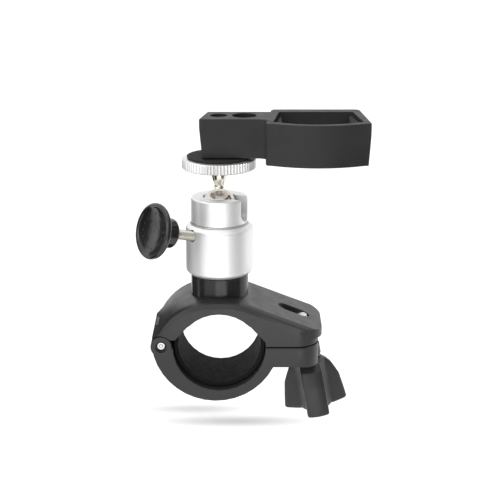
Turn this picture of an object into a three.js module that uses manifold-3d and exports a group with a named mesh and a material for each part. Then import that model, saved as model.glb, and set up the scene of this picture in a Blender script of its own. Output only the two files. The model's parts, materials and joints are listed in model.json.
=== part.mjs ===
// Handlebar mount: a hinged bar clamp, a small ball head and an open holder frame.
// Millimetres, +Z up. The origin is the centre of the handlebar bore; +Y runs along the bar,
// +X points from the hinge towards the clamp screw.
import * as THREE from 'three';
import { mergeVertices } from 'three/addons/utils/BufferGeometryUtils.js';
import Module from 'manifold-3d';

const wasm = await Module();
wasm.setup();

// ---------------------------------------------------------------- driving dimensions

const contactGap = 0.3;         // space left between two pieces that touch
const lowerRound = 1.3;         // rounding of the lower jaw's outer edges
const upperRound = 2.4;         // and of the upper jaw's
const roundSteps = 32;          // sides of a large round surface
const smallSteps = 16;          // sides of a screw or a pin

// bar clamp
const barRadius = 15.9;         // radius of the gripped bar
const linerThickness = 1.7;
const linerRecess = 4;          // the liners stop this far inside each face
const clampDepth = 34;          // along the bar
const ringWall = 4.7;           // lower jaw under the bore
const ringOffset = 1.4;         // the lower jaw is round about a centre this far towards the hinge
const ringRise = 2;             // and this far up
const archDrop = 3;             // the upper arch's centre lies this far under the bore's centre
const crownWall = 4.8;          // upper jaw above its arch, at the top
const crownFlare = 6.2;         // how fast that wall grows towards the sides
const reliefHeight = 5.5;       // up to here the upper jaw leaves room for the lower liner's ends
const lipStandoff = 0.3;        // the upper jaw's lips stay this far behind the liner
const lipFoot = 1.8;            // the lips' slanting ends start this high at the bore's wall
const lipSlope = 1.08;
const splitGap = 0.4;
const lowerArmThickness = 8.7;
const upperTipHeight = 5.2;     // top of the upper arm at its tip
const flangeHeight = 2.5;       // underside of the plate that overhangs the upper arm's tip
const flangeOverhang = 1.4;
const armCornerRadius = 8.2;    // rounded plan of the arms' ends
const screwOffset = 7;          // clamp screw outside the lower ring
const armBeyondScrew = 6.7;     // arm past the clamp screw

// hinge
const hingeOffset = 4.4;        // pin outside the bore
const knuckleRadius = 4;
const centreKnuckleHalf = 4.6;
const pinRadius = 1.55;
const pinFit = 0.25;
const pinRecess = 1.1;
const counterboreRadius = 2.35;
const hingeRise = 2.8;          // the upper jaw's side of the hinge starts this high

// clamp screw and knob, on an axis that leans outwards
const screwLean = 10;           // degrees
const screwTop = 8.3;           // height where the screw's line leaves the upper arm
const screwSink = 0.7;          // the screw's end stays this far inside
const screwRadius = 2.4;
const screwFit = 0.45;
const slotLength = 11.3;
const slotWidth = 6.6;
const slotBeyondScrew = 3.2;
const nutThickness = 2.6;
const nutWall = 1.4;           // nut plate beside its hole
const nutLength = 13;
const nutDepth = 4.2;           // top of the nut plate under the screw's line start
const swingRoom = 1.1;          // the nut's hole lets the screw swing out with the lower jaw
const seatRadius = 5.3;
const seatDepth = 17.6;         // pressure face of the lower arm, along the screw
const washerThickness = 0.8;
const washerRadius = 4.9;
const knobHeight = 20.8;
const knobNeckRadius = 5;
const knobTipRadius = 13.2;     // lobes, at the bottom
const knobValleyRadius = 5.9;
const knobLobeHalf = 4.1;
const knobLobes = 3;
const knobTurned = 32;          // degrees from +X to the first lobe

// boss and mounting screw
const bossRadius = 11.1;
const bossTop = 24.8;
const studRadius = 3.05;        // quarter-inch thread
const studFit = 0.25;
const studHeadRadius = 5.2;
const studHeadHeight = 3.8;
const studEngagement = 6.4;

// ball head
const baseRadius = 13;
const baseHeight = 18.6;
const baseChamfer = 1.5;
const neckRadius = 10.85;
const neckHeight = 11.7;
const shoulderRise = 1.3;
const neckRound = 1.3;
const ballRadius = 6.75;
const ballFit = 0.3;
const ballDrop = 3.9;           // ball centre under the housing's top
const mouthRadius = 6.25;
const dropSlotHalf = 3.6;
const dropSlotDepth = 9.2;
const dropSlotTurned = -20;     // degrees from +X
const plugRadius = 8.4;
const plugHeight = 6.6;
const pistonWaist = 4.2;
const wedgeFlat = 1.6;          // the piston and the cup stand this far off the lock screw's line
const wedgeRim = 3.3;           // and this far at their rims, where its cone pushes

// lock screw and knob, leaning up and out of the housing
const lockTurned = 217;       // degrees from +X
const lockRise = 15.5;          // degrees above level
const lockHeight = 13;        // where its line crosses the head's axis, above the head's foot
const lockRadius = 1.95;
const lockFit = 0.35;
const lockTipStart = 5.1;
const lockTipEnd = 9.4;
const lockHubStart = 22.8;
const lockHubRadius = 5.7;
const lockHubLength = 6.4;
const lockKnobRadius = 10.65;
const lockKnobThickness = 3.3;
const lockDish = 1;

// stem, lock ring and pad
const stemNeckRadius = 1.85;
const stemTopRadius = 3.1;
const stemLength = 15;        // ball centre to the lock ring
const ringRadius = 14.15;
const ringHeight = 4;
const knurls = 36;
const knurlDepth = 0.35;
const padRadius = 12.2;
const padThickness = 0.5;
const studLength = 8.2;         // above the lock ring's top

// holder frame
const blockHeight = 15;
const blockHalf = 7.8;          // half depth of the threaded block
const blockFrontLeft = 7.4;     // block's slanted end, front and back, from the stud
const blockBackLeft = 4.5;
const quarterHoleRadius = 3;
const largeHoleRadius = 4.7;
const largeHoleOffset = 9.7;
const insertWall = 1.2;
const insertHeight = 8;
const frameLeft = 17.4;         // frame's front corner from the stud
const frameWidth = 39.2;
const frameTaper = 2.6;         // each side leans in towards the back
const frameFront = 15.4;
const frameBack = 13.8;
const frontBulge = 4.5;
const frameDrop = 1.1;          // the frame reaches this far under the block
const frameStep = 0.15;         // and its top lies this far under the block's
const blockSlant = 1.5;         // the block's free end leans in this far from top to bottom
const frameSlant = 1.1;         // so does the frame's
const sideWall = 2.9;
const frontWall = 2.3;
const backWall = 5.8;
const frameRound = 0.5;
const neckFillet = 5;
const padFaceLeft = 3.5;        // from the frame's inner corner to each pad's face
const padFaceRight = 4.4;
const padInset = 1.4;
const padHalf = 8.6;

// ---------------------------------------------------------------- places worked out from them

const boreRadius = barRadius + linerThickness + contactGap;
const lowerRingRadius = boreRadius + ringWall + ringRise;
const halfDepth = clampDepth / 2;
const linerHalf = halfDepth - linerRecess;
const hingeX = -(boreRadius + hingeOffset);
const screwX = lowerRingRadius + screwOffset;
const screwTurn = THREE.MathUtils.degToRad(-screwLean);
const lowerTipX = screwX + armBeyondScrew;
const upperTipX = lowerTipX + flangeOverhang;
const headFoot = bossTop + contactGap;
const shoulderZ = headFoot + baseHeight;
const headTop = shoulderZ + neckHeight;
const ballZ = headTop - ballDrop;
const socketRadius = ballRadius + ballFit;
const ringZ = ballZ + stemLength;
const padZ = ringZ + ringHeight + contactGap;
const blockZ = padZ + padThickness + contactGap;
const blockTop = blockZ + blockHeight;
const frameZ = blockZ - frameDrop;
const frameRight = frameLeft + frameWidth;
const frameMiddle = frameLeft + frameWidth / 2;
const nutInner = screwRadius + swingRoom + nutWall;
const nutOuter = screwRadius + contactGap + nutWall;

// ---------------------------------------------------------------- shape helpers

const degrees = THREE.MathUtils.degToRad;

/** A three.js geometry as a solid for joining and cutting. */
function solid(geometry) {
  const plain = geometry.clone();
  plain.deleteAttribute('normal');
  plain.deleteAttribute('uv');
  const merged = mergeVertices(plain, 1e-4);
  return new wasm.Manifold(new wasm.Mesh({
    numProp: 3,
    vertProperties: Float32Array.from(merged.attributes.position.array),
    triVerts: Uint32Array.from(merged.index.array),
  }));
}

/** A solid back as a three.js geometry. */
function geometryOf(body) {
  const { vertProperties, triVerts } = body.getMesh();
  const geometry = new THREE.BufferGeometry();
  geometry.setAttribute('position', new THREE.BufferAttribute(vertProperties, 3));
  geometry.setIndex(new THREE.BufferAttribute(triVerts, 1));
  geometry.computeVertexNormals();
  return geometry;
}

/** Solid of revolution about Z through [radius, height] points, from the lower axis end up. */
function turned(profile, steps = roundSteps) {
  const points = profile.map(([radius, height]) => new THREE.Vector2(radius, height));
  return new THREE.LatheGeometry(points, steps).rotateX(Math.PI / 2);
}

/** Closed ring of revolution: an outer wall, an inner wall and flat ends. */
function tube(inner, outer, low, high, steps = roundSteps) {
  return turned([[inner, low], [outer, low], [outer, high], [inner, high], [inner, low]], steps);
}

/** Cylinder along Z. */
function post(radius, low, high, steps = roundSteps) {
  return turned([[0, low], [radius, low], [radius, high], [0, high]], steps);
}

/** Cylinder along Y about (x, z). */
function barrel(radius, x, z, front, back, steps = roundSteps) {
  return post(radius, front, back, steps).rotateX(-Math.PI / 2).translate(x, 0, z);
}

/** Box from one corner to the other. */
function box(low, high) {
  const size = high.map((value, i) => value - low[i]);
  const centre = high.map((value, i) => (value + low[i]) / 2);
  return new THREE.BoxGeometry(...size).translate(...centre);
}

function roundedEdges(size) {
  return {
    bevelEnabled: size > 0, bevelThickness: size, bevelSize: size, bevelOffset: -size,
    bevelSegments: 2, curveSegments: 8,
  };
}

/** Extrudes an X-Z outline along Y over the clamp's depth, with rounded outer edges. */
function slab(outline, round) {
  const options = { depth: clampDepth - 2 * round, ...roundedEdges(round) };
  return new THREE.ExtrudeGeometry(outline, options).rotateX(Math.PI / 2).translate(0, halfDepth - round, 0);
}

/** Extrudes an X-Y outline along Z. */
function plate(outline, low, high, round = 0) {
  const options = { depth: high - low - 2 * round, ...roundedEdges(round) };
  return new THREE.ExtrudeGeometry(outline, options).translate(0, 0, low + round);
}

/** Long slot outline along X with round ends. */
function slotShape(low, high, width) {
  const radius = width / 2;
  const shape = new THREE.Shape();
  shape.moveTo(low + radius, -radius);
  shape.lineTo(high - radius, -radius);
  shape.absarc(high - radius, 0, radius, -Math.PI / 2, Math.PI / 2);
  shape.lineTo(low + radius, radius);
  shape.absarc(low + radius, 0, radius, Math.PI / 2, 1.5 * Math.PI);
  return shape;
}

/** Closed outline through corners, each rounded by its own radius. */
function roundedOutline(corners) {
  const shape = new THREE.Shape();
  corners.forEach(([x, y, radius], i) => {
    const here = new THREE.Vector2(x, y);
    const before = new THREE.Vector2(...corners.at(i - 1));
    const after = new THREE.Vector2(...corners[(i + 1) % corners.length]);
    const intoCorner = here.clone().sub(before).normalize();
    const outOfCorner = after.sub(here).normalize();
    const turn = Math.abs(Math.acos(THREE.MathUtils.clamp(intoCorner.dot(outOfCorner), -1, 1)));
    const trim = radius * Math.tan(turn / 2);
    const start = here.clone().addScaledVector(intoCorner, -trim);
    const end = here.clone().addScaledVector(outOfCorner, trim);
    if (i === 0) shape.moveTo(start.x, start.y);
    else shape.lineTo(start.x, start.y);
    if (radius > 0) shape.quadraticCurveTo(here.x, here.y, end.x, end.y);
  });
  return shape;
}

/** Places a geometry made along the clamp screw's own axis into the clamp's frame. */
function alongScrew(geometry) {
  return geometry.rotateY(screwTurn).translate(screwX, 0, screwTop);
}

const lockDirection = new THREE.Vector3(0, 0, 1)
  .applyAxisAngle(new THREE.Vector3(0, 1, 0), degrees(90 - lockRise))
  .applyAxisAngle(new THREE.Vector3(0, 0, 1), degrees(lockTurned));
const lockRotation = new THREE.Quaternion().setFromUnitVectors(new THREE.Vector3(0, 0, 1), lockDirection);

/** Places a geometry made along the lock screw's own axis into the object's frame. */
function alongLock(geometry) {
  return geometry.applyQuaternion(lockRotation).translate(0, 0, headFoot + lockHeight);
}

// ---------------------------------------------------------------- bar clamp

/** Plan of an arm: full width, with its far end rounded. */
function armPlan(endX, radius) {
  const shape = new THREE.Shape();
  shape.moveTo(-2 * lowerRingRadius, -halfDepth);
  shape.lineTo(endX - radius, -halfDepth);
  shape.absarc(endX - radius, -halfDepth + radius, radius, -Math.PI / 2, 0);
  shape.lineTo(endX, halfDepth - radius);
  shape.absarc(endX - radius, halfDepth - radius, radius, 0, Math.PI / 2);
  shape.lineTo(-2 * lowerRingRadius, halfDepth);
  return shape;
}

/** Side view of the upper jaw: a crown that thickens away from its top, then a sloping arm. */
function upperOutline() {
  const crown = [];
  for (let angle = 160; angle >= 56; angle -= 6.5) {
    const level = Math.sin(degrees(angle));
    const smooth = 0.02;
    const wall = crownWall + crownFlare * (Math.sqrt(1 - level + smooth) - Math.sqrt(smooth));
    const reach = barRadius + wall;
    crown.push([reach * Math.cos(degrees(angle)), reach * level - archDrop]);
  }
  const shape = new THREE.Shape();
  shape.moveTo(upperTipX, -2 * upperRound);
  shape.lineTo(upperTipX, upperTipHeight);
  crown.reverse().forEach(([x, z]) => shape.lineTo(x, z));
  shape.lineTo(hingeX - knuckleRadius * 0.9, hingeRise);
  shape.lineTo(hingeX - knuckleRadius * 0.9, -2 * upperRound);
  return shape;
}

/** Side view of the lower jaw: half a ring that takes in the hinge, and a straight arm. */
function lowerOutline() {
  const shape = new THREE.Shape();
  const armAngle = Math.asin((lowerArmThickness + ringRise) / lowerRingRadius);
  const hingeAngle = Math.PI + Math.asin((ringRise + splitGap / 2) / lowerRingRadius);
  shape.absarc(-ringOffset, ringRise, lowerRingRadius, hingeAngle, 2 * Math.PI - armAngle);
  shape.lineTo(lowerTipX, -lowerArmThickness);
  shape.lineTo(lowerTipX, -splitGap / 2);
  return shape;
}

function screwSlot(low, high, before, after, width) {
  return solid(alongScrew(plate(slotShape(-before, after, width), low, high)));
}

/** A block with the given side view, right across in depth. */
function across(points, depth) {
  const shape = new THREE.Shape(points.map(([x, z]) => new THREE.Vector2(x, z)));
  const prism = new THREE.ExtrudeGeometry(shape, { depth, bevelEnabled: false });
  return solid(prism.rotateX(Math.PI / 2).translate(0, depth / 2, 0));
}

/** The room under the upper jaw's lips, whose ends slant down and outwards to the bore's wall. */
function lipEnds() {
  const reach = boreRadius + 2;
  const inner = barRadius * 0.75;
  const low = lipFoot + (boreRadius - reach) * lipSlope;
  const high = lipFoot + (boreRadius - inner) * lipSlope;
  const points = [[-reach, -1], [reach, -1], [reach, low], [inner, high], [-inner, high], [-reach, low]];
  return across(points, clampDepth + 2);
}

function nutPocket() {
  const room = contactGap;
  const low = [-nutInner - room, -nutLength / 2 - room, -nutDepth - nutThickness - room];
  const high = [nutOuter + room, clampDepth, -nutDepth + room];
  return solid(alongScrew(box(low, high)));
}

function studPocket() {
  const pocketTop = barRadius - archDrop + linerThickness + studHeadHeight + 3 * contactGap;
  const head = solid(post(studHeadRadius + contactGap, 0, pocketTop));
  return head.add(solid(post(studRadius + studFit, 0, bossTop + 1, smallSteps)));
}

function upperJaw() {
  const above = solid(box([0, -clampDepth, splitGap / 2], [2 * upperTipX, clampDepth, bossTop]))
    .add(solid(box([-2 * upperTipX, -clampDepth, hingeRise], [1, clampDepth, bossTop])));
  const whole = solid(slab(upperOutline(), upperRound)).intersect(above);
  const overhang = solid(plate(armPlan(upperTipX, armCornerRadius + flangeOverhang), flangeHeight, bossTop));
  const body = solid(plate(armPlan(lowerTipX - contactGap, armCornerRadius), -1, flangeHeight + 0.01));
  let jaw = whole.intersect(overhang).add(whole.intersect(body));
  jaw = jaw.add(solid(post(bossRadius, barRadius - archDrop + 1, bossTop)));
  const cutFront = -halfDepth - 1;
  const cutBack = halfDepth + 1;
  jaw = jaw.subtract(solid(barrel(barRadius + lipStandoff, 0, -archDrop, cutFront, cutBack)));
  const bore = solid(barrel(boreRadius, 0, 0, cutFront, cutBack));
  const linerRoom = linerHalf + contactGap;
  const middle = solid(box([-boreRadius - 1, -linerRoom, -1], [boreRadius + 1, linerRoom, reliefHeight]));
  jaw = jaw.subtract(bore.intersect(middle)).subtract(bore.intersect(lipEnds()));
  const pocketRadius = barRadius + linerThickness + contactGap;
  jaw = jaw.subtract(solid(barrel(pocketRadius, 0, -archDrop, -linerRoom, linerRoom)));
  jaw = jaw.subtract(studPocket());
  const knuckleCut = knuckleRadius + contactGap;
  jaw = jaw.subtract(solid(barrel(knuckleCut, hingeX, 0, cutFront, -centreKnuckleHalf)));
  jaw = jaw.subtract(solid(barrel(knuckleCut, hingeX, 0, centreKnuckleHalf, cutBack)));
  const knuckle = solid(barrel(knuckleRadius, hingeX, 0, -centreKnuckleHalf, centreKnuckleHalf));
  const webLow = [hingeX - knuckleRadius * 0.7, -centreKnuckleHalf, 0];
  const webHigh = [-boreRadius + 0.8, centreKnuckleHalf, hingeRise + 2];
  const web = solid(box(webLow, webHigh)).subtract(solid(barrel(boreRadius, 0, 0, cutFront, cutBack)));
  jaw = jaw.add(knuckle).add(web);
  jaw = jaw.subtract(solid(barrel(pinRadius + pinFit, hingeX, 0, cutFront, cutBack, smallSteps)));
  jaw = jaw.subtract(screwSlot(-12, 6, slotLength - slotBeyondScrew, slotBeyondScrew, slotWidth));
  return jaw.subtract(nutPocket());
}

function lowerJaw() {
  const cutFront = -halfDepth - 1;
  const cutBack = halfDepth + 1;
  let jaw = solid(slab(lowerOutline(), lowerRound));
  jaw = jaw.intersect(solid(plate(armPlan(lowerTipX, armCornerRadius), -2 * lowerRingRadius, 1)));
  const seat = solid(alongScrew(post(seatRadius, -seatDepth, -seatDepth + 4)));
  const underLow = [0, cutFront, -2 * lowerArmThickness];
  const underside = solid(box(underLow, [2 * lowerTipX, cutBack, -splitGap / 2]));
  jaw = jaw.add(seat.intersect(underside));
  jaw = jaw.subtract(solid(alongScrew(post(seatRadius + 1, -seatDepth - 6, -seatDepth))));
  const knuckleStart = centreKnuckleHalf + contactGap;
  for (const [front, back] of [[-halfDepth, -knuckleStart], [knuckleStart, halfDepth]]) {
    jaw = jaw.add(solid(barrel(knuckleRadius, hingeX, 0, front, back)));
  }
  jaw = jaw.subtract(solid(barrel(boreRadius, 0, 0, cutFront, cutBack)));
  const centreHalf = centreKnuckleHalf + contactGap;
  jaw = jaw.subtract(solid(barrel(knuckleRadius + contactGap, hingeX, 0, -centreHalf, centreHalf)));
  jaw = jaw.subtract(solid(barrel(pinRadius + pinFit, hingeX, 0, cutFront, cutBack, smallSteps)));
  for (const [front, back] of [[cutFront, -halfDepth + pinRecess], [halfDepth - pinRecess, cutBack]]) {
    jaw = jaw.subtract(solid(barrel(counterboreRadius, hingeX, 0, front, back, smallSteps)));
  }
  return jaw.subtract(solid(alongScrew(post(screwRadius + screwFit, -seatDepth - 1, -2, smallSteps))));
}

function upperLiner() {
  const half = linerHalf;
  const outer = solid(barrel(barRadius + linerThickness, 0, -archDrop, -half, half));
  const lowest = [-boreRadius, -half - 1, reliefHeight + contactGap];
  const above = solid(box(lowest, [boreRadius, half + 1, bossTop]));
  return outer.subtract(solid(barrel(barRadius, 0, -archDrop, -half - 1, half + 1))).intersect(above);
}

function lowerLiner() {
  const half = linerHalf;
  const outer = solid(barrel(barRadius + linerThickness, 0, 0, -half, half));
  const endHeight = reliefHeight - 3 * contactGap;
  const below = solid(box([-boreRadius, -half - 1, -boreRadius], [boreRadius, half + 1, endHeight]));
  return outer.subtract(solid(barrel(barRadius, 0, 0, -half - 1, half + 1))).intersect(below);
}

function hingePin() {
  return barrel(pinRadius, hingeX, 0, -halfDepth + pinRecess, halfDepth - pinRecess, smallSteps);
}

function mountScrew() {
  const headLow = barRadius - archDrop + linerThickness + contactGap;
  const tip = headFoot + studEngagement;
  return turned([
    [0, headLow], [studHeadRadius, headLow], [studHeadRadius, headLow + studHeadHeight],
    [studRadius, headLow + studHeadHeight], [studRadius, tip - 0.6], [studRadius - 0.6, tip], [0, tip],
  ], smallSteps);
}

// ---------------------------------------------------------------- clamp screw and knob, along their own axis

function nutPlate() {
  const low = [-nutInner, -nutLength / 2, -nutDepth - nutThickness];
  const high = [nutOuter, nutLength / 2, -nutDepth];
  const room = screwRadius + contactGap;
  const hole = slotShape(-screwRadius - swingRoom, room, 2 * room);
  return geometryOf(solid(box(low, high)).subtract(solid(plate(hole, low[2] - 1, high[2] + 1))));
}

const washerTop = -seatDepth - contactGap;
const knobTop = washerTop - washerThickness - contactGap;
const knobBottom = knobTop - knobHeight;
const screwEnd = knobBottom + 6;

function clampScrew() {
  const chamfer = 0.5;
  return turned([
    [0, screwEnd], [screwRadius, screwEnd], [screwRadius, -screwSink - chamfer],
    [screwRadius - chamfer, -screwSink], [0, -screwSink],
  ], smallSteps);
}

function clampWasher() {
  const room = screwRadius + contactGap;
  return tube(room, washerRadius, washerTop - washerThickness, washerTop);
}

/** Plan of the knob: round-tipped lobes with hollow flanks between them. */
function knobOutline() {
  const shape = new THREE.Shape();
  const step = 360 / knobLobes;
  const spread = THREE.MathUtils.radToDeg(Math.asin(knobLobeHalf / knobTipRadius));
  for (let i = 0; i < knobLobes; i++) {
    const middle = knobTurned + i * step;
    const at = (angle, radius) => [radius * Math.cos(degrees(angle)), radius * Math.sin(degrees(angle))];
    if (i === 0) shape.moveTo(...at(middle - spread, knobTipRadius - 1.4));
    shape.quadraticCurveTo(...at(middle - 0.75 * spread, knobTipRadius), ...at(middle, knobTipRadius));
    const shoulder = at(middle + 0.75 * spread, knobTipRadius);
    shape.quadraticCurveTo(...shoulder, ...at(middle + spread, knobTipRadius - 1.4));
    const valley = at(middle + step / 2, 2 * knobValleyRadius - knobTipRadius / 2 - 0.6);
    shape.quadraticCurveTo(...valley, ...at(middle + step - spread, knobTipRadius - 1.4));
  }
  return shape;
}

function clampKnob() {
  const envelope = solid(turned([
    [0, knobBottom], [knobTipRadius - 0.8, knobBottom], [knobTipRadius, knobBottom + 0.8],
    [knobTipRadius - 1.9, knobTop - 9.4], [knobNeckRadius + 3.6, knobTop - 3.7],
    [knobNeckRadius, knobTop - 0.4], [knobNeckRadius - 0.4, knobTop], [0, knobTop],
  ]));
  const lobes = solid(plate(knobOutline(), knobBottom - 1, knobTop + 1));
  const core = solid(turned([
    [0, knobBottom], [knobValleyRadius, knobBottom], [knobValleyRadius, knobTop - 5],
    [knobNeckRadius, knobTop - 0.4], [knobNeckRadius - 0.4, knobTop], [0, knobTop],
  ], 36));
  const bore = solid(post(screwRadius + contactGap, screwEnd - contactGap, knobTop + 1, smallSteps));
  return geometryOf(envelope.intersect(lobes).add(core).subtract(bore));
}

// ---------------------------------------------------------------- ball head

function headHousing() {
  const plugTop = headFoot + plugHeight;
  const outside = solid(turned([
    [0, headFoot], [baseRadius - baseChamfer, headFoot], [baseRadius, headFoot + baseChamfer],
    [baseRadius, shoulderZ - 0.7], [baseRadius - 0.7, shoulderZ],
    [neckRadius + 0.4, shoulderZ + shoulderRise - 0.4],
    [neckRadius, shoulderZ + shoulderRise], [neckRadius, headTop - neckRound],
    [neckRadius - neckRound * 0.3, headTop - neckRound * 0.3],
    [neckRadius - neckRound, headTop], [0, headTop],
  ], 40));
  const cavity = solid(post(socketRadius, headFoot, ballZ));
  const ballRoom = solid(new THREE.SphereGeometry(socketRadius, 28, 16).translate(0, 0, ballZ));
  const mouth = solid(turned([
    [0, ballZ], [mouthRadius, ballZ], [mouthRadius, headTop - 0.8], [mouthRadius + 0.9, headTop + 0.1],
    [mouthRadius + 0.9, headTop + 2], [0, headTop + 2],
  ]));
  const plugRoom = solid(post(plugRadius + contactGap, headFoot - 1, plugTop + contactGap));
  const slotFloor = headTop - dropSlotDepth + dropSlotHalf;
  const slotRound = solid(barrel(dropSlotHalf, 0, slotFloor, 0, 2 * neckRadius, 32).rotateZ(-Math.PI / 2));
  const slotSides = solid(box([0, -dropSlotHalf, slotFloor], [2 * neckRadius, dropSlotHalf, headTop + 1]));
  const slot = slotRound.add(slotSides).rotate([0, 0, dropSlotTurned]);
  const lockHole = solid(alongLock(post(lockRadius + lockFit, 0, 2 * baseRadius, smallSteps)));
  return outside.subtract(cavity).subtract(ballRoom).subtract(mouth).subtract(plugRoom)
    .subtract(slot).subtract(lockHole);
}

function basePlug() {
  return tube(studRadius + studFit, plugRadius, headFoot + 0.2, headFoot + plugHeight);
}

const lockLineZ = (distance) => headFoot + lockHeight + distance * Math.tan(degrees(lockRise));
const wedgeZ = lockLineZ(pistonWaist + 0.8);

function cupPiston() {
  const low = headFoot + plugHeight + 2 * contactGap;
  const radius = socketRadius - contactGap;
  return turned([
    [0, low], [radius, low], [radius, wedgeZ - wedgeRim],
    [pistonWaist, wedgeZ - wedgeFlat], [0, wedgeZ - wedgeFlat],
  ]);
}

function ballCup() {
  const radius = socketRadius - contactGap;
  const top = ballZ - 4.4;
  const body = solid(turned([
    [0, wedgeZ + wedgeFlat], [pistonWaist, wedgeZ + wedgeFlat],
    [radius, wedgeZ + wedgeRim], [radius, top], [0, top],
  ]));
  return body.subtract(solid(new THREE.SphereGeometry(socketRadius, 28, 16).translate(0, 0, ballZ)));
}

function ball() {
  return new THREE.SphereGeometry(ballRadius, 24, 14).rotateX(Math.PI / 2).translate(0, 0, ballZ);
}

function ballStem() {
  const stemFoot = ballZ + ballRadius - 0.6;
  const threadTop = ringZ + ringHeight + studLength;
  const body = solid(turned([
    [0, stemFoot], [stemNeckRadius + 0.5, stemFoot], [stemNeckRadius, stemFoot + 1.4],
    [stemNeckRadius + 0.15, stemFoot + 3], [stemTopRadius - 0.4, ringZ - 3.4],
    [stemTopRadius, ringZ - contactGap], [studRadius, ringZ - contactGap],
    [studRadius, threadTop - 0.6], [studRadius - 0.6, threadTop], [0, threadTop],
  ], 32));
  return body.subtract(solid(new THREE.SphereGeometry(socketRadius, 32, 20).translate(0, 0, ballZ)));
}

/** Thumb ring: its rim is knurled, and its bore clears the thread. */
function lockRing() {
  const shape = new THREE.Shape();
  for (let i = 0; i < 2 * knurls; i++) {
    const angle = Math.PI * i / knurls;
    const radius = ringRadius - (i % 2 ? knurlDepth : 0);
    const point = [radius * Math.cos(angle), radius * Math.sin(angle)];
    if (i === 0) shape.moveTo(...point);
    else shape.lineTo(...point);
  }
  const rim = solid(plate(shape, ringZ, ringZ + ringHeight));
  const edges = solid(turned([
    [0, ringZ], [ringRadius - 0.7, ringZ], [ringRadius, ringZ + 0.5], [ringRadius, ringZ + ringHeight - 0.5],
    [ringRadius - 0.7, ringZ + ringHeight], [0, ringZ + ringHeight],
  ], 2 * knurls));
  const bore = solid(post(stemTopRadius + contactGap, ringZ - 1, ringZ + ringHeight + 1, smallSteps));
  return rim.intersect(edges).subtract(bore);
}

function ringPad() {
  return tube(stemTopRadius + contactGap, padRadius, padZ, padZ + padThickness);
}

// ---------------------------------------------------------------- lock screw and knob, along their own axis

function lockTip() {
  return turned([
    [0, lockTipStart], [1, lockTipStart], [lockRadius, lockTipStart + 1.8],
    [lockRadius, lockTipEnd], [0, lockTipEnd],
  ], smallSteps);
}

const lockKnobFace = lockHubStart + lockHubLength + lockKnobThickness;

function lockScrew() {
  return post(lockRadius, lockTipEnd + contactGap, lockKnobFace - lockDish - 1.6, smallSteps);
}

function lockKnob() {
  const rim = lockKnobRadius;
  const back = lockHubStart + lockHubLength;
  const body = solid(turned([
    [0, lockHubStart], [lockHubRadius - 0.8, lockHubStart], [lockHubRadius, lockHubStart + 0.8],
    [lockHubRadius + 0.3, back - 0.6], [rim - 2.2, back], [rim - 0.4, back + 0.9], [rim, back + 1.7],
    [rim - 0.4, lockKnobFace - 0.3], [rim - 1, lockKnobFace], [rim - 1.5, lockKnobFace - 0.2],
    [rim - 2.3, lockKnobFace - lockDish], [0, lockKnobFace - lockDish],
  ]));
  const boreEnd = lockKnobFace - lockDish - 1.6 + contactGap;
  const bore = solid(post(lockRadius + contactGap, 0, boreEnd, smallSteps));
  return geometryOf(body.subtract(bore));
}

// ---------------------------------------------------------------- holder frame

/** Frame outline in plan, with each side, its front and its back moved in by some amount. */
function frameOutline(sideIn, frontIn, backIn) {
  const side = -sideIn;
  const front = -frameFront + frontIn;
  const back = frameBack - backIn;
  const left = frameLeft - side;
  const right = frameRight + side;
  const shape = new THREE.Shape();
  const corner = side < 0 ? 1 : 2;
  shape.moveTo(left + corner, front);
  shape.quadraticCurveTo(frameMiddle, front - 2 * frontBulge, right - corner, front);
  shape.quadraticCurveTo(right, front, right - 0.1 * corner, front + corner);
  shape.lineTo(right - frameTaper + 0.1 * corner, back - corner);
  shape.quadraticCurveTo(right - frameTaper, back, right - frameTaper - corner, back);
  shape.lineTo(left + frameTaper + corner, back);
  shape.quadraticCurveTo(left + frameTaper, back, left + frameTaper - 0.1 * corner, back - corner);
  shape.lineTo(left + 0.1 * corner, front + corner);
  shape.quadraticCurveTo(left, front, left + corner, front);
  return shape;
}

/** Threaded block in plan, with a hollow fillet that runs into the frame's front corner. */
function blockOutline() {
  const joint = frameLeft + sideWall * 0.6;
  return roundedOutline([
    [-blockFrontLeft, -blockHalf, 1.2], [joint - 0.5, -blockHalf, neckFillet],
    [joint - 0.2, -frameFront + 2.5, 0], [frameMiddle, -frameFront + 2.5, 0],
    [frameMiddle, blockHalf, 0], [-blockBackLeft, blockHalf, 1.2],
  ]);
}

function holderFrame() {
  const ring = solid(plate(frameOutline(0, 0, 0), frameZ, blockTop - frameStep, frameRound));
  const block = solid(plate(blockOutline(), blockZ, blockTop, frameRound));
  const opening = solid(plate(frameOutline(sideWall, frontWall, backWall), frameZ - 1, blockTop + 1));
  const quarterRoom = quarterHoleRadius + studFit;
  const ends = across([
    [-blockFrontLeft - 0.1, blockTop + 0.1], [-blockFrontLeft + blockSlant, frameZ - 0.1],
    [frameRight - frameSlant, frameZ - 0.1], [frameRight + 0.1, blockTop + 0.1],
  ], 6 * blockHalf);
  let frame = ring.add(block).intersect(ends).subtract(opening);
  frame = frame.subtract(solid(post(quarterRoom, 0, blockTop + 1, 32)));
  const insertRoom = quarterRoom + insertWall + contactGap;
  frame = frame.subtract(solid(post(insertRoom, 0, blockZ + insertHeight + contactGap, 32)));
  const large = post(largeHoleRadius, 0, blockTop + 1, 36).translate(largeHoleOffset, 0, 0);
  return frame.subtract(solid(large));
}

function quarterInsert() {
  const inner = quarterHoleRadius + studFit;
  return tube(inner, inner + insertWall, blockZ + 0.2, blockZ + insertHeight, 32);
}

function largeInsert() {
  const outer = largeHoleRadius - contactGap;
  const middle = blockZ + blockHeight / 2;
  return tube(outer - 0.9, outer, blockZ + 0.6, middle + 3, 36).translate(largeHoleOffset, 0, 0);
}

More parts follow.
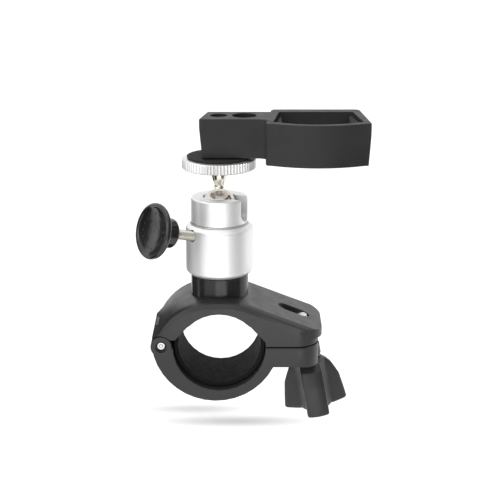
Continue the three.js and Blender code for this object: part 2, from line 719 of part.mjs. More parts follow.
/** Grip pad against one side of the frame's opening. */
function gripPad(low, high) {
  const middle = (frameBack - backWall - frameFront + frontWall) / 2;
  const inside = frameOutline(sideWall + contactGap, frontWall + contactGap, backWall + contactGap);
  const room = solid(plate(inside, frameZ + padInset, blockTop - padInset));
  return room.intersect(solid(box([low, middle - padHalf, 0], [high, middle + padHalf, 2 * blockTop])));
}

// ---------------------------------------------------------------- the assembly

const clampPlastic = { color: 0x26272a, roughness: 0.5, metalness: 0 };
const holderPlastic = { color: 0x2c2d30, roughness: 0.55, metalness: 0 };
const glossPlastic = { color: 0x141416, roughness: 0.2, metalness: 0 };
const knobPlastic = { color: 0x202124, roughness: 0.6, metalness: 0 };
const rubber = { color: 0x17181a, roughness: 0.85, metalness: 0 };
const aluminium = { color: 0xd9dadd, roughness: 0.3, metalness: 1 };
const steel = { color: 0xb9bbbf, roughness: 0.25, metalness: 1 };
const nickel = { color: 0xc9c2b2, roughness: 0.12, metalness: 1 };
const brass = { color: 0xb99a55, roughness: 0.35, metalness: 1 };
const nylon = { color: 0xe4e1d8, roughness: 0.6, metalness: 0 };

/** A named piece; solids from joining and cutting are turned back into geometry first. */
function piece(name, shape, finish) {
  const geometry = shape.isBufferGeometry ? shape : geometryOf(shape);
  const mesh = new THREE.Mesh(geometry, new THREE.MeshStandardMaterial(finish));
  mesh.name = name;
  return mesh;
}

const clamp = new THREE.Group();
clamp.add(piece('upper_jaw', upperJaw(), clampPlastic));
clamp.add(piece('lower_jaw', lowerJaw(), clampPlastic));
clamp.add(piece('upper_liner', upperLiner(), rubber));
clamp.add(piece('lower_liner', lowerLiner(), rubber));
clamp.add(piece('hinge_pin', hingePin(), steel));
clamp.add(piece('mount_screw', mountScrew(), steel));

const clampScrewGroup = new THREE.Group();
clampScrewGroup.position.set(screwX, 0, screwTop);
clampScrewGroup.rotation.y = screwTurn;
clampScrewGroup.add(piece('nut_plate', nutPlate(), steel));
clampScrewGroup.add(piece('clamp_screw', clampScrew(), steel));
clampScrewGroup.add(piece('clamp_washer', clampWasher(), steel));
clampScrewGroup.add(piece('clamp_knob', clampKnob(), knobPlastic));
clamp.add(clampScrewGroup);

const head = new THREE.Group();
head.add(piece('head_housing', headHousing(), aluminium));
head.add(piece('base_plug', basePlug(), aluminium));
head.add(piece('cup_piston', cupPiston(), brass));
head.add(piece('ball_cup', ballCup(), nylon));
head.add(piece('ball', ball(), nickel));
head.add(piece('ball_stem', ballStem(), nickel));
head.add(piece('lock_ring', lockRing(), aluminium));
head.add(piece('ring_pad', ringPad(), rubber));

const lockGroup = new THREE.Group();
lockGroup.position.set(0, 0, headFoot + lockHeight);
lockGroup.quaternion.copy(lockRotation);
lockGroup.add(piece('lock_tip', lockTip(), brass));
lockGroup.add(piece('lock_screw', lockScrew(), steel));
lockGroup.add(piece('lock_knob', lockKnob(), glossPlastic));
head.add(lockGroup);

const innerLeft = frameLeft + sideWall;
const innerRight = frameRight - sideWall;
const holder = new THREE.Group();
holder.add(piece('holder_frame', holderFrame(), holderPlastic));
holder.add(piece('quarter_insert', quarterInsert(), brass));
holder.add(piece('large_insert', largeInsert(), steel));
holder.add(piece('grip_pad_left', gripPad(0, innerLeft + padFaceLeft), rubber));
holder.add(piece('grip_pad_right', gripPad(innerRight - padFaceRight, 2 * frameRight), rubber));

const handlebarMount = new THREE.Group();
handlebarMount.add(clamp, head, holder);

export default handlebarMount;
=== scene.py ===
"""Looks for the handlebar mount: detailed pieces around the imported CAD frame, then floor, lights and camera.

Sizes are millimetres in the CAD's own frame; MM turns them into Blender's metres.
"""

import json
import math

import bmesh
import bpy
from mathutils import Matrix, Vector

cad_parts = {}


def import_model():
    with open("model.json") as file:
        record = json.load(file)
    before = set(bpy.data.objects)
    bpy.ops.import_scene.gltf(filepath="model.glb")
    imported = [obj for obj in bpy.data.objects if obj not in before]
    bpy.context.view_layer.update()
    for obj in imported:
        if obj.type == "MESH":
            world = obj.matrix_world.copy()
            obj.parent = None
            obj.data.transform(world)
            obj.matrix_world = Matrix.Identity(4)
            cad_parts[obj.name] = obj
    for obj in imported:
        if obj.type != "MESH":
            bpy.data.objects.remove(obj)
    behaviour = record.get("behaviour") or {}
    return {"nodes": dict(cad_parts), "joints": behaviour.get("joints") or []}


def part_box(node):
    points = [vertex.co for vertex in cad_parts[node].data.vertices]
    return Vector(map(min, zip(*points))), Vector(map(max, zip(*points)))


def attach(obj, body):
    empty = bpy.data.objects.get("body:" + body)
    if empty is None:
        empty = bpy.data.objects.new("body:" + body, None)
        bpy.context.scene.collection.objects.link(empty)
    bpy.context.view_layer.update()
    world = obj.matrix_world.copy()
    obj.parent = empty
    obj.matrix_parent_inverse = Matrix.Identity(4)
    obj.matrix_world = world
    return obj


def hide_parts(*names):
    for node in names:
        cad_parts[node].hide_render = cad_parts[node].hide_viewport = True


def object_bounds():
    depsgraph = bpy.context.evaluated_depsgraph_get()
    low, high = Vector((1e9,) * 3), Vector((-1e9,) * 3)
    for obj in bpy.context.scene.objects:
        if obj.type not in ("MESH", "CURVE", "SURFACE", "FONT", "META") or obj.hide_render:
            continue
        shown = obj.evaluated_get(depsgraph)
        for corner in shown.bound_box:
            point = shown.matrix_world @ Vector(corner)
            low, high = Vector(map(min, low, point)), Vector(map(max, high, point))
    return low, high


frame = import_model()
CAD_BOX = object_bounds()

MM = 0.001
JOINTS = {j["name"]: j for j in frame["joints"]}


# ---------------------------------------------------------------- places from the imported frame


def low_mm(node):
    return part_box(node)[0] / MM


def high_mm(node):
    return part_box(node)[1] / MM


def joint_axis(name):
    return Vector(JOINTS[name]["axis"]).normalized()


def joint_place(name):
    return Vector(JOINTS[name]["pos_m"]) / MM


HEAD_FOOT = low_mm("head_housing").z
HEAD_TOP = high_mm("head_housing").z
HEAD_RADIUS = high_mm("head_housing").x
BALL_Z = joint_place("ball_tilt").z
BALL_RADIUS = high_mm("ball").x
RING_LOW = low_mm("lock_ring").z
RING_HIGH = high_mm("lock_ring").z
RING_RADIUS = high_mm("lock_ring").x
STUD_TOP = high_mm("ball_stem").z
PIN_X = joint_place("jaw_open").x
PIN_HALF = high_mm("hinge_pin").y
PIN_RADIUS = high_mm("hinge_pin").z
SCREW_AXIS = joint_axis("clamp_knob_turn")
LOCK_AXIS = joint_axis("lock_knob_turn")

STUD_RADIUS = 3.05
SCREW_RADIUS = 2.4
SCREW_FOOT = Vector((31.6, 0, 8.3))  # where the clamp screw's line leaves the upper arm
LOCK_RADIUS = 1.95
LOCK_FOOT = Vector((0, 0, HEAD_FOOT + 13))  # where the lock screw's line crosses the head's axis


# ---------------------------------------------------------------- mesh helpers


def to_object(name, bm):
    """A new object in the scene from a bmesh in millimetres."""
    bmesh.ops.recalc_face_normals(bm, faces=bm.faces)
    bmesh.ops.scale(bm, vec=(MM, MM, MM), verts=bm.verts)
    mesh = bpy.data.meshes.new(name)
    bm.to_mesh(mesh)
    bm.free()
    obj = bpy.data.objects.new(name, mesh)
    bpy.context.scene.collection.objects.link(obj)
    return obj


def grid_mesh(rows, closed_rows, cap_ends):
    """A mesh over rings of points: each row is a ring, and rows join to the next."""
    bm = bmesh.new()
    rings = [[bm.verts.new(p) for p in row] for row in rows]
    count = len(rings)
    for i in range(count if closed_rows else count - 1):
        here = rings[i]
        there = rings[(i + 1) % count]
        for j in range(len(here)):
            k = (j + 1) % len(here)
            bm.faces.new((here[j], here[k], there[k], there[j]))
    if cap_ends:
        bm.faces.new(rings[0])
        bm.faces.new(rings[-1])
    return bm


def around(radius_at, heights, steps):
    """Rings of points about Z: radius_at(row, angle) gives each one's radius."""
    rows = []
    for i, height in enumerate(heights):
        ring = []
        for j in range(steps):
            angle = 2 * math.pi * j / steps
            radius = radius_at(i, angle)
            ring.append((radius * math.cos(angle), radius * math.sin(angle), height))
        rows.append(ring)
    return rows


def turned(name, profile, steps=128, closed=False):
    """Solid of revolution about Z. A closed profile is a ring; an open one is capped at its ends."""
    rows = around(lambda i, angle: profile[i][0], [z for r, z in profile], steps)
    return to_object(name, grid_mesh(rows, closed, not closed))


def rounded(corners, size=0.3, steps=4):
    """A profile with each inner corner cut by a small arc."""
    out = [corners[0]]
    for before, here, after in zip(corners, corners[1:], corners[2:]):
        a = Vector(before) - Vector(here)
        b = Vector(after) - Vector(here)
        trim = min(size, 0.45 * a.length, 0.45 * b.length)
        start = Vector(here) + a.normalized() * trim
        end = Vector(here) + b.normalized() * trim
        for i in range(steps + 1):
            t = i / steps
            point = start * (1 - t) ** 2 + Vector(here) * 2 * t * (1 - t) + end * t**2
            out.append((point.x, point.y))
    out.append(corners[-1])
    return out


def arc(radius, centre, first, last, steps):
    """Profile points on a circle about (0, centre), by angle in degrees from level."""
    angles = [math.radians(first + (last - first) * i / steps) for i in range(steps + 1)]
    return [(radius * math.cos(a), centre + radius * math.sin(a)) for a in angles]


def threaded(name, radius, low, high, pitch, depth, steps=48, chamfer=0.6):
    """A screw along Z with a real helical thread and chamfered ends."""
    count = int((high - low) / pitch * 8)
    heights = [low + (high - low) * i / count for i in range(count + 1)]

    def radius_at(i, angle):
        phase = (heights[i] / pitch - angle / (2 * math.pi)) % 1
        ridge = abs(2 * phase - 1)
        end = min(heights[i] - low, high - heights[i])
        taper = max(0, chamfer - end)
        return min(radius - depth * (1 - ridge), radius - taper)

    return to_object(name, grid_mesh(around(radius_at, heights, steps), False, True))


def aim(obj, direction, foot):
    """Turns an object made along Z to lie along a direction from a foot point."""
    turn = Vector((0, 0, 1)).rotation_difference(direction).to_matrix().to_4x4()
    obj.data.transform(Matrix.Translation(foot * MM) @ turn)
    return obj


def smooth(obj, angle=35):
    """Smooth shading with sharp edges kept, and normals led by the large faces."""
    for polygon in obj.data.polygons:
        polygon.use_smooth = True
    obj.data.set_sharp_from_angle(angle=math.radians(angle))
    weighted = obj.modifiers.new("normals", "WEIGHTED_NORMAL")
    weighted.keep_sharp = True
    return obj


def soften(obj, size, segments=2, angle=32):
    """Rounds the sharp edges a little, as moulding or deburring leaves them."""
    bevel = obj.modifiers.new("edges", "BEVEL")
    bevel.width = size * MM
    bevel.segments = segments
    bevel.limit_method = "ANGLE"
    bevel.angle_limit = math.radians(angle)
    bevel.use_clamp_overlap = True
    return obj


def cut(obj, *tools):
    """Subtracts tool objects and removes them."""
    for tool in tools:
        boolean = obj.modifiers.new("cut", "BOOLEAN")
        boolean.operation = "DIFFERENCE"
        boolean.solver = "EXACT"
        boolean.object = tool
        bpy.context.view_layer.update()
        depsgraph = bpy.context.evaluated_depsgraph_get()
        mesh = bpy.data.meshes.new_from_object(obj.evaluated_get(depsgraph))
        obj.modifiers.clear()
        obj.data = mesh
        bpy.data.objects.remove(tool)
    return obj


def refined(node, size, angle=32):
    """A welded copy of a CAD node with rounded edges and smooth faces; it stands for the node."""
    source = frame["nodes"][node]
    bm = bmesh.new()
    bm.from_mesh(source.data)
    bmesh.ops.remove_doubles(bm, verts=bm.verts, dist=2e-6)
    bmesh.ops.dissolve_limit(bm, angle_limit=math.radians(0.4), verts=bm.verts, edges=bm.edges)
    bmesh.ops.scale(bm, vec=(1 / MM, 1 / MM, 1 / MM), verts=bm.verts)
    obj = to_object(node + "_finished", bm)
    if size:
        soften(obj, size, angle=angle)
    smooth(obj, angle=38)
    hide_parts(node)
    return obj


# ---------------------------------------------------------------- materials


class Nodes:
    """A material's node tree, with short calls for what these materials use."""

    def __init__(self, name):
        self.material = bpy.data.materials.new(name)
        self.material.use_nodes = True
        self.tree = self.material.node_tree
        self.shader = self.tree.nodes["Principled BSDF"]
        coordinates = self.tree.nodes.new("ShaderNodeTexCoord")
        self.place = coordinates.outputs["Object"]

    def link(self, source, target):
        self.tree.links.new(source, target)

    def stretched(self, scale):
        mapping = self.tree.nodes.new("ShaderNodeMapping")
        mapping.inputs["Scale"].default_value = scale
        self.link(self.place, mapping.inputs["Vector"])
        return mapping.outputs["Vector"]

    def noise(self, scale, detail=3, vector=None):
        node = self.tree.nodes.new("ShaderNodeTexNoise")
        node.inputs["Scale"].default_value = scale
        node.inputs["Detail"].default_value = detail
        self.link(vector or self.place, node.inputs["Vector"])
        return node.outputs["Fac"]

    def spread(self, value, low, high):
        node = self.tree.nodes.new("ShaderNodeMapRange")
        node.inputs["From Min"].default_value = 0.3
        node.inputs["From Max"].default_value = 0.7
        node.inputs["To Min"].default_value = low
        node.inputs["To Max"].default_value = high
        self.link(value, node.inputs["Value"])
        return node.outputs["Result"]

    def tint(self, value, dark, light):
        node = self.tree.nodes.new("ShaderNodeMix")
        node.data_type = "RGBA"
        node.inputs["A"].default_value = (*dark, 1)
        node.inputs["B"].default_value = (*light, 1)
        self.link(self.spread(value, 0, 1), node.inputs["Factor"])
        self.link(node.outputs["Result"], self.shader.inputs["Base Color"])

    def bump(self, value, strength, depth, before=None):
        node = self.tree.nodes.new("ShaderNodeBump")
        node.inputs["Strength"].default_value = strength
        node.inputs["Distance"].default_value = depth * MM
        self.link(value, node.inputs["Height"])
        if before:
            self.link(before, node.inputs["Normal"])
        self.link(node.outputs["Normal"], self.shader.inputs["Normal"])
        return node.outputs["Normal"]

    def set(self, **values):
        for name, value in values.items():
            self.shader.inputs[name.replace("_", " ")].default_value = value


def shade(colour, share):
    return tuple(c * share for c in colour)


def moulded(name, colour, rough, grain=2600, depth=0.012, coat=0.0, lines=None, ior=1.38):
    """Moulded plastic: fine grain, faint cloudiness and uneven gloss."""
    n = Nodes(name)
    cloud = n.noise(90, 4)
    n.tint(cloud, shade(colour, 0.86), shade(colour, 1.12))
    n.link(n.spread(n.noise(240, 4), rough - 0.05, rough + 0.06), n.shader.inputs["Roughness"])
    normal = n.bump(n.noise(grain, 2), 0.35, depth)
    if lines:
        n.bump(n.noise(1, 2, n.stretched(lines)), 0.5, 0.02, normal)
    n.set(Metallic=0.0, IOR=ior, Coat_Weight=coat, Coat_Roughness=0.12)
    return n.material


def machined(name, colour, rough, marks=(60, 60, 5000), depth=0.004):
    """Metal with fine turning marks across Z, and a light film of handling."""
    n = Nodes(name)
    film = n.noise(130, 4)
    n.tint(film, shade(colour, 0.95), shade(colour, 1.03))
    turning = n.noise(1, 2, n.stretched(marks))
    n.link(n.spread(turning, rough - 0.04, rough + 0.05), n.shader.inputs["Roughness"])
    n.bump(n.noise(1, 2, n.stretched(marks)), 0.25, depth)
    n.set(Metallic=1.0)
    return n.material


def blasted(name, colour, rough):
    """Bead-blasted, anodised aluminium: even, pearly and soft."""
    n = Nodes(name)
    n.tint(n.noise(70, 3), shade(colour, 0.97), shade(colour, 1.02))
    n.link(n.spread(n.noise(900, 3), rough - 0.03, rough + 0.04), n.shader.inputs["Roughness"])
    n.bump(n.noise(5200, 2), 0.2, 0.006)
    n.set(Metallic=0.85)
    return n.material


def rubbery(name, colour, rough=0.8):
    n = Nodes(name)
    n.tint(n.noise(120, 4), shade(colour, 0.8), shade(colour, 1.2))
    n.link(n.spread(n.noise(500, 3), rough - 0.08, rough + 0.08), n.shader.inputs["Roughness"])
    n.bump(n.noise(1800, 3), 0.5, 0.03)
    n.set(Metallic=0.0, IOR=1.25)
    return n.material


CLAMP = moulded("clamp_plastic", (0.021, 0.0212, 0.022), 0.36, ior=1.42)
BOSS = moulded("boss_plastic", (0.014, 0.0142, 0.015), 0.2, depth=0.004)
KNOB = moulded("knob_plastic", (0.022, 0.0222, 0.023), 0.38, ior=1.42)
GLOSS = moulded("gloss_plastic", (0.008, 0.008, 0.0085), 0.2, depth=0.003, coat=0.5)
HOLDER = moulded("holder_plastic", (0.02, 0.0202, 0.021), 0.5, lines=(2300, 40, 6), ior=1.33)
LINER = rubbery("liner_rubber", (0.008, 0.0078, 0.0072))
GRIP = rubbery("grip_rubber", (0.02, 0.02, 0.021))
PAD = rubbery("pad_rubber", (0.028, 0.025, 0.022))
HOUSING = blasted("housing_aluminium", (0.86, 0.86, 0.865), 0.48)
# Darker copy of the housing aluminium: painted shade for the groove at the neck's foot.
GROOVE_SHADE = blasted("groove_shade_aluminium", (0.33, 0.33, 0.335), 0.6)
RING = blasted("ring_aluminium", (0.78, 0.775, 0.775), 0.3)
STEEL = machined("plated_steel", (0.62, 0.62, 0.63), 0.24)
BOLT = machined("lock_bolt", (0.42, 0.4, 0.36), 0.3)
DARK_STEEL = machined("dark_steel", (0.09, 0.09, 0.092), 0.35)
NICKEL = machined("polished_nickel", (0.66, 0.63, 0.54), 0.12, depth=0.002)
BALL_METAL = machined("ball_nickel", (0.62, 0.57, 0.52), 0.16, depth=0.002)
BRASS = machined("turned_brass", (0.62, 0.44, 0.19), 0.3)
NYLON = moulded("nylon", (0.66, 0.64, 0.58), 0.5)
FLOOR = Nodes("floor")
FLOOR.set(Base_Color=(0.95, 0.95, 0.95, 1), Roughness=0.9, IOR=1.2)


def dress(obj, material, body=None):
    """Gives a piece its material, and where it is new and its body."""
    obj.data.materials.clear()
    obj.data.materials.append(material)
    if body:
        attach(obj, body)
    return obj


# ---------------------------------------------------------------- refined CAD shapes

for node, size, material, slot, body in [
    ("upper_jaw", 0.25, CLAMP, "clamp_plastic", "base"),
    ("lower_jaw", 0.25, CLAMP, "clamp_plastic", "lower_jaw"),
    ("upper_liner", 0.2, LINER, "rubber", "base"),
    ("lower_liner", 0.2, LINER, "rubber", "lower_jaw"),
    ("nut_plate", 0.2, STEEL, "steel", "base"),
    ("clamp_washer", 0.15, DARK_STEEL, "steel", "clamp_washer"),
    ("base_plug", 0.25, HOUSING, "aluminium", "head"),
    ("cup_piston", 0.25, BRASS, "brass", "head"),
    ("ball_cup", 0.2, NYLON, "nylon", "head"),
    ("lock_tip", 0.15, BRASS, "brass", "lock_tip"),
    ("ring_pad", 0.12, PAD, "rubber", "lock_ring"),
    ("holder_frame", 0.22, HOLDER, "holder_plastic", "holder"),
    ("quarter_insert", 0.15, BRASS, "brass", "holder"),
    ("large_insert", 0.15, STEEL, "steel", "holder"),
    ("grip_pad_left", 0.4, GRIP, "pad_rubber", "holder"),
    ("grip_pad_right", 0.4, GRIP, "pad_rubber", "holder"),
]:
    dress(refined(node, size), material, body)


def boss():
    """The polished round boss under the ball head."""
    top = HEAD_FOOT - 0.3
    return smooth(turned("boss", [
        (10.4, 13), (11.12, 13), (11.12, top - 0.3), (10.85, top), (10.4, top),
    ], 128, closed=True), 50)


dress(boss(), BOSS, "base")

# ---------------------------------------------------------------- ball head

PLUG_ROOM = 8.7
SOCKET = BALL_RADIUS + 0.3
MOUTH = 6.25
NECK_RADIUS = 10.85
SHOULDER = HEAD_FOOT + 18.6
PLUG_TOP = HEAD_FOOT + 6.9
SLOT_HALF = 3.6
SLOT_FLOOR = HEAD_TOP - 9.2 + SLOT_HALF
SLOT_TURN = math.radians(-20)


def housing():
    mouth_angle = math.degrees(math.acos(MOUTH / SOCKET))
    outside = rounded([
        (PLUG_ROOM, HEAD_FOOT), (HEAD_RADIUS - 1.5, HEAD_FOOT), (HEAD_RADIUS, HEAD_FOOT + 1.4),
        (HEAD_RADIUS, SHOULDER), (NECK_RADIUS, SHOULDER + 1.3), (NECK_RADIUS, HEAD_TOP),
        (MOUTH, HEAD_TOP), (MOUTH, BALL_Z + 3.4),
    ], 0.75, 6)
    inside = arc(SOCKET, BALL_Z, mouth_angle, 0, 8) + [(SOCKET, PLUG_TOP), (PLUG_ROOM, PLUG_TOP)]
    body = turned("housing", outside + inside, 128, closed=True)
    slot_top = 2 * SLOT_HALF + SLOT_FLOOR + 9
    slot_profile = [(-SLOT_HALF, slot_top), (SLOT_HALF, slot_top)]
    for i in range(25):
        angle = -math.pi * i / 24
        slot_profile.append((SLOT_HALF * math.cos(angle), SLOT_FLOOR + SLOT_HALF * math.sin(angle)))
    rows = [[(x, y, z) for y, z in slot_profile] for x in (0.5, 20)]
    slot = to_object("slot_tool", grid_mesh(rows, False, True))
    slot.data.transform(Matrix.Rotation(SLOT_TURN, 4, "Z"))
    hole_radius = LOCK_RADIUS + 0.35
    hole = aim(turned("hole_tool", [(hole_radius, 2), (hole_radius, 24)], 48), LOCK_AXIS, LOCK_FOOT)
    cut(body, slot, hole)
    soften(body, 0.3, 3, 40)
    return smooth(body, 40)


def neck_shade_ring():
    """A dark ring round the neck's foot: painted shade for the groove where the neck meets the shoulder."""
    low = SHOULDER + 1.25
    outer = NECK_RADIUS + 0.06
    return smooth(turned("neck_shade_ring", [
        (NECK_RADIUS - 0.3, low), (outer + 0.3, low), (outer, low + 0.3), (outer, low + 0.75),
        (NECK_RADIUS - 0.3, low + 0.8),
    ], 128, closed=True), 50)


def ball():
    """The ball is flattened where its stem is pressed in."""
    profile = arc(BALL_RADIUS, BALL_Z, -89.5, 68, 60)
    return smooth(turned("ball_sphere", rounded(profile + [(0.4, profile[-1][1])], 0.1), 96))


def stem():
    """Waisted stem under the lock ring; the stud above it is threaded."""
    start = BALL_Z + SOCKET
    shape = [
        (0.2, start + 0.1), (2.1, start + 0.02), (1.85, start + 0.6), (1.8, start + 1.2), (2.1, start + 2.2),
        (2.6, RING_LOW - 4.4), (2.95, RING_LOW - 2.6), (3.05, RING_LOW - 0.35), (0.2, RING_LOW - 0.31),
    ]
    return smooth(turned("stem", rounded(shape, 0.5, 5), 64), 50)


def lock_ring():
    """Thumb ring with a fine straight knurl between two plain lips."""
    knurls = 68
    heights = [0, 0, 0.35, 0.6, 0.9, 3.1, 3.4, 3.65, 4, 4]
    radii = [3.4, -0.45, 0, 0, 0, 0, 0, 0, -0.45, 3.4]
    knurled = [False, False, False, True, True, True, True, False, False, False]
    tall = (RING_HIGH - RING_LOW) / 4

    def radius_at(i, angle):
        if i in (0, len(radii) - 1):
            return radii[i]
        groove = 0.42 * (0.5 + 0.5 * math.cos(angle * knurls)) ** 1.5
        return RING_RADIUS + radii[i] - (groove if knurled[i] else groove * 0.8)

    rows = around(radius_at, [RING_LOW + h * tall for h in heights], knurls * 8)
    return smooth(to_object("lock_ring_rim", grid_mesh(rows, True, False)), 50)


dress(housing(), HOUSING, "head")
# The dark ring at the neck's foot is painted shade, not a mark in the metal.
dress(neck_shade_ring(), GROOVE_SHADE, "head")
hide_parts("head_housing")
dress(ball(), BALL_METAL, "ball")
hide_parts("ball")
dress(stem(), NICKEL, "stem")
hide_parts("ball_stem")
dress(threaded("stud", STUD_RADIUS, RING_LOW - 0.3, STUD_TOP, 1.27, 0.35), NICKEL, "stem")
dress(lock_ring(), RING, "lock_ring")
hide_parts("lock_ring")


# ---------------------------------------------------------------- lock screw and knob

LOCK_HUB = 22.8
LOCK_BACK = LOCK_HUB + 6.4
LOCK_FACE = LOCK_BACK + 3.3
LOCK_RIM = 10.57


def lock_knob():
    """Dished disc with a rolled rim on a flared hub; the fine ring of dots on it is made by dots()."""
    bore = LOCK_RADIUS + 0.3
    shape = rounded([
        (bore, LOCK_HUB), (5, LOCK_HUB), (5.7, LOCK_HUB + 0.8), (5.5, LOCK_BACK - 1.4),
        (6.4, LOCK_BACK - 0.4), (9.2, LOCK_BACK + 0.3), (LOCK_RIM, LOCK_BACK + 1.5),
        (LOCK_RIM, LOCK_FACE - 0.6), (LOCK_RIM - 0.8, LOCK_FACE),
        (LOCK_RIM - 1.5, LOCK_FACE - 0.2), (LOCK_RIM - 1.9, LOCK_FACE - 0.55), (7.4, LOCK_FACE - 1.0),
        (6, LOCK_FACE - 1.3), (4, LOCK_FACE - 1.62), (2, LOCK_FACE - 1.8), (0.2, LOCK_FACE - 1.86),
    ], 0.5, 5)
    knob = turned("lock_disc", shape + [(0.2, LOCK_FACE - 2.6), (bore, LOCK_FACE - 2.6)], 112, True)
    return smooth(aim(knob, LOCK_AXIS, LOCK_FOOT), 40)


def dots():
    """Small raised dots in a circle on the dish."""
    bm = bmesh.new()
    count = 16
    for i in range(count):
        angle = 2 * math.pi * i / count
        place = Vector((6.6 * math.cos(angle), 6.6 * math.sin(angle), LOCK_FACE - 1.2))
        made = bmesh.ops.create_uvsphere(bm, u_segments=12, v_segments=8, radius=0.34)
        bmesh.ops.translate(bm, vec=place, verts=made["verts"])
    return smooth(aim(to_object("lock_dots", bm), LOCK_AXIS, LOCK_FOOT), 60)


dress(lock_knob(), GLOSS, "lock_knob")
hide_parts("lock_knob")
dress(dots(), GLOSS, "lock_knob")
lock_thread = threaded("lock_thread", LOCK_RADIUS, 9.7, LOCK_FACE - 2.7, 0.7, 0.3)
lock_screw = aim(lock_thread, LOCK_AXIS, LOCK_FOOT)
dress(smooth(lock_screw, 60), BOLT, "lock_knob")
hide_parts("lock_screw")


# ---------------------------------------------------------------- clamp screw, knob and pin

KNOB_TOP = 19.0
KNOB_BOTTOM = KNOB_TOP + 20.75
KNOB_TIP = 13.2
KNOB_VALLEY = 5.9
KNOB_LOBE_HALF = 4.2
KNOB_TURN = math.radians(28)


def pick(points, at):
    """The value between (place, value) points."""
    for (x0, y0), (x1, y1) in zip(points, points[1:]):
        if at <= x1:
            t = (at - x0) / (x1 - x0)
            return y0 + (y1 - y0) * max(0, min(1, t))
    return points[-1][1]


def soft_min(a, b, reach):
    h = max(reach - abs(a - b), 0) / reach
    return min(a, b) - h * h * reach / 4


def soft_max(a, b, reach):
    return -soft_min(-a, -b, reach)


def clamp_knob():
    """Lobes that grow out of a slim neck, with hollow flanks between them."""
    envelope = [
        (KNOB_TOP, 4.9), (KNOB_TOP + 2, 7.2), (KNOB_TOP + 3.7, 8.6), (KNOB_TOP + 6.7, 10),
        (KNOB_TOP + 9.4, 11.2), (KNOB_BOTTOM, KNOB_TIP),
    ]
    core = [(KNOB_TOP, 4.9), (KNOB_TOP + 5, KNOB_VALLEY), (KNOB_BOTTOM, KNOB_VALLEY + 0.1)]
    count = 72
    heights = [KNOB_TOP + (KNOB_BOTTOM - KNOB_TOP) * i / count for i in range(count + 1)]

    def outline(angle):
        third = 2 * math.pi / 3
        off = (angle - KNOB_TURN + third / 2) % third - third / 2
        tip = KNOB_TIP + 0.4 - 1.1 * (abs(off) * KNOB_TIP / KNOB_LOBE_HALF) ** 4 * 0.35
        flank = KNOB_LOBE_HALF / max(1e-6, abs(math.sin(abs(off) - 0.02)))
        flank = flank if abs(off) > 0.1 else 99
        valley_side = third / 2 - abs(off)
        hollow = KNOB_VALLEY / max(0.25, math.cos(valley_side * 1.1))
        return soft_max(soft_min(tip, flank, 2.2), hollow, 1.6)

    def radius_at(i, angle):
        s = heights[i]
        end = max(0, 0.7 - (KNOB_BOTTOM - s)) ** 2 + max(0, 0.5 - (s - KNOB_TOP)) ** 2
        star = soft_min(outline(angle), pick(envelope, s), 1.2)
        return soft_max(star, pick(core, s), 0.8) - end

    knob = to_object("clamp_lobes", grid_mesh(around(radius_at, heights, 216), False, True))
    return smooth(aim(knob, SCREW_AXIS, SCREW_FOOT), 50)


def hinge_pin():
    shape = rounded([
        (0.2, -PIN_HALF + 0.35), (0.55, -PIN_HALF + 0.35), (0.75, -PIN_HALF), (PIN_RADIUS, -PIN_HALF),
        (PIN_RADIUS, PIN_HALF), (0.75, PIN_HALF), (0.55, PIN_HALF - 0.35), (0.2, PIN_HALF - 0.35),
    ], 0.28, 4)
    pin = turned("pin", shape, 48)
    pin.data.transform(Matrix.Translation((PIN_X * MM, 0, 0)) @ Matrix.Rotation(math.pi / 2, 4, "X"))
    return smooth(pin, 45)


dress(clamp_knob(), KNOB, "clamp_knob")
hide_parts("clamp_knob")
clamp_screw = aim(threaded("clamp_thread", SCREW_RADIUS, 0.7, 30, 0.8, 0.35), SCREW_AXIS, SCREW_FOOT)
dress(smooth(clamp_screw, 60), STEEL, "clamp_knob")
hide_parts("clamp_screw")
dress(hinge_pin(), STEEL, "base")
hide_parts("hinge_pin")
mount_screw = refined("mount_screw", 0.2)
dress(mount_screw, STEEL, "base")


# ---------------------------------------------------------------- floor, lights and camera

SHADOW_Z = CAD_BOX[0][2] - 0.0003
FLOOR_Z = SHADOW_Z - 0.07  # the open lower jaw and its knob hang this low


def floor():
    bm = bmesh.new()
    bmesh.ops.create_grid(bm, x_segments=2, y_segments=2, size=30000)
    plane = to_object("floor", bm)
    plane.location = (0, 0, FLOOR_Z)
    return dress(plane, FLOOR.material)


def contact_shadow(name, place, half_sizes, darkness):
    """A soft oval shadow painted just under the part, on a card that only the camera sees."""
    bm = bmesh.new()
    bmesh.ops.create_grid(bm, x_segments=2, y_segments=2, size=1)
    card_object = to_object(name, bm)
    card_object.data.transform(Matrix.Diagonal((half_sizes[0], half_sizes[1], 1, 1)))
    card_object.location = (place[0] * MM, place[1] * MM, SHADOW_Z + place[2] * MM)
    card_object.visible_diffuse = False
    card_object.visible_glossy = False
    card_object.visible_shadow = False
    shadow = Nodes(name)
    scaled = shadow.tree.nodes.new("ShaderNodeVectorMath")
    scaled.operation = "DIVIDE"
    scaled.inputs[1].default_value = (half_sizes[0] * MM, half_sizes[1] * MM, 1)
    shadow.link(shadow.place, scaled.inputs[0])
    length = shadow.tree.nodes.new("ShaderNodeVectorMath")
    length.operation = "LENGTH"
    shadow.link(scaled.outputs["Vector"], length.inputs[0])
    fade = shadow.tree.nodes.new("ShaderNodeMapRange")
    fade.interpolation_type = "SMOOTHSTEP"
    fade.inputs["To Min"].default_value = darkness
    fade.inputs["To Max"].default_value = 0
    shadow.link(length.outputs["Value"], fade.inputs["Value"])
    shadow.link(fade.outputs["Result"], shadow.shader.inputs["Alpha"])
    shadow.set(Base_Color=(0.02, 0.02, 0.02, 1), Roughness=1, Specular_IOR_Level=0)
    return dress(card_object, shadow.material)


def area_light(name, place, target, size, power):
    data = bpy.data.lights.new(name, "AREA")
    data.shape = "RECTANGLE"
    data.size, data.size_y = size
    data.energy = power
    lamp = bpy.data.objects.new(name, data)
    bpy.context.scene.collection.objects.link(lamp)
    lamp.location = place
    lamp.rotation_euler = (Vector(target) - Vector(place)).to_track_quat("-Z", "Y").to_euler()


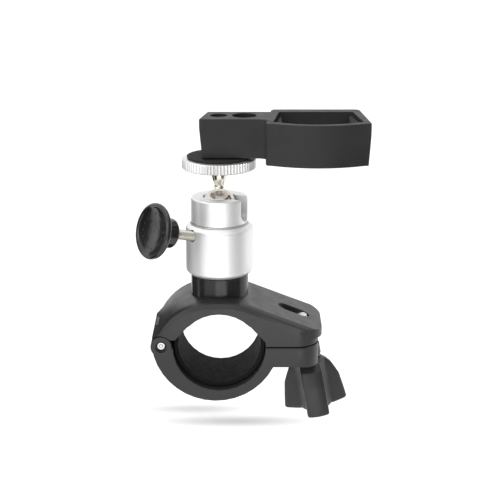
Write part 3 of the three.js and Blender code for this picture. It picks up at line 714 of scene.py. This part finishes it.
def world(strength, shadows):
    """White surroundings. Towards each (direction, start, end, share) of shadows the white dims to that share."""
    made = bpy.data.worlds.new("studio")
    made.use_nodes = True
    tree = made.node_tree
    background = tree.nodes["Background"]
    background.inputs["Color"].default_value = (1, 1, 1, 1)
    place = tree.nodes.new("ShaderNodeTexCoord")
    total = None
    for direction, start, end, share in shadows:
        near = tree.nodes.new("ShaderNodeVectorMath")
        near.operation = "DOT_PRODUCT"
        near.inputs[1].default_value = Vector(direction).normalized()
        tree.links.new(place.outputs["Generated"], near.inputs[0])
        fade = tree.nodes.new("ShaderNodeMapRange")
        fade.interpolation_type = "SMOOTHSTEP"
        fade.inputs["From Min"].default_value = start
        fade.inputs["From Max"].default_value = end
        fade.inputs["To Min"].default_value = 1
        fade.inputs["To Max"].default_value = share
        tree.links.new(near.outputs["Value"], fade.inputs["Value"])
        product = tree.nodes.new("ShaderNodeMath")
        product.operation = "MULTIPLY"
        product.inputs[0].default_value = strength
        if total:
            tree.links.new(total, product.inputs[0])
        tree.links.new(fade.outputs["Result"], product.inputs[1])
        total = product.outputs["Value"]
    tree.links.new(total, background.inputs["Strength"])
    bpy.context.scene.world = made


CAMERA_PITCH = math.radians(16.5)
CAMERA_DISTANCE = 500
CAMERA_TARGET = Vector((11.8, 0, 33.8))
FOCAL_SHARE = 2.58  # focal length over the frame's width


def camera():
    data = bpy.data.cameras.new("camera")
    data.sensor_width = 36
    data.lens = 36 * FOCAL_SHARE
    data.clip_start = 0.01
    data.clip_end = 50
    obj = bpy.data.objects.new("camera", data)
    bpy.context.scene.collection.objects.link(obj)
    ahead = Vector((0, math.cos(CAMERA_PITCH), -math.sin(CAMERA_PITCH)))
    obj.location = (CAMERA_TARGET - ahead * CAMERA_DISTANCE) * MM
    obj.rotation_euler = (math.pi / 2 - CAMERA_PITCH, 0, 0)
    bpy.context.scene.camera = obj


def card(name, centre, radius, azimuths, heights, strength):
    """A curved card that only reflections see. Azimuths are degrees from the front, positive to the right."""
    count = max(2, round((azimuths[1] - azimuths[0]) / 4))
    bm = bmesh.new()
    columns = []
    for i in range(count + 1):
        angle = math.radians(azimuths[0] + (azimuths[1] - azimuths[0]) * i / count)
        x = centre[0] + radius * math.sin(angle)
        y = centre[1] - radius * math.cos(angle)
        columns.append([bm.verts.new((x, y, z)) for z in heights])
    for (a, b), (c, d) in zip(columns, columns[1:]):
        bm.faces.new((a, c, d, b))
    made = to_object(name, bm)
    made.visible_camera = False
    made.visible_diffuse = False
    made.visible_shadow = False
    glow = Nodes(name)
    glow.set(Base_Color=(0, 0, 0, 1), Roughness=1, Specular_IOR_Level=0, Emission_Color=(1, 1, 1, 1))
    glow.set(Emission_Strength=strength)
    return dress(made, glow.material)


floor()
contact_shadow("shadow_back", (-10, 1, 0), (38, 9), 0.42)
contact_shadow("shadow_front", (6, -10, -0.4), (52, 10), 0.5)
LOW = SHADOW_Z / MM + 0.5
card("front_card", (0, 0), 150, (-15, 26), (LOW, 12), 3.2)
card("right_flag", (0, 0), 145, (30, 88), (LOW, 60), 0.2)
card("knob_flag_left", (-22, -16), 45, (-170, -112), (LOW, 60), 0.05)
card("knob_flag_right", (-22, -16), 45, (-98, -60), (LOW, 60), 0.05)
MIDDLE = (0.01, 0, 0.03)
area_light("key_left", (-0.6, -0.6, 0.5), MIDDLE, (0.5, 0.5), 1.2)
area_light("overhead", (0.0, 0.0, 1.2), MIDDLE, (0.9, 0.9), 3)
world(1.28, [((0.85, -0.5, 0), 0.5, 0.95, 0.2), ((0, 1, 0), 0.45, 1, 0.8)])
camera()
bpy.context.scene.view_settings.view_transform = "Standard"
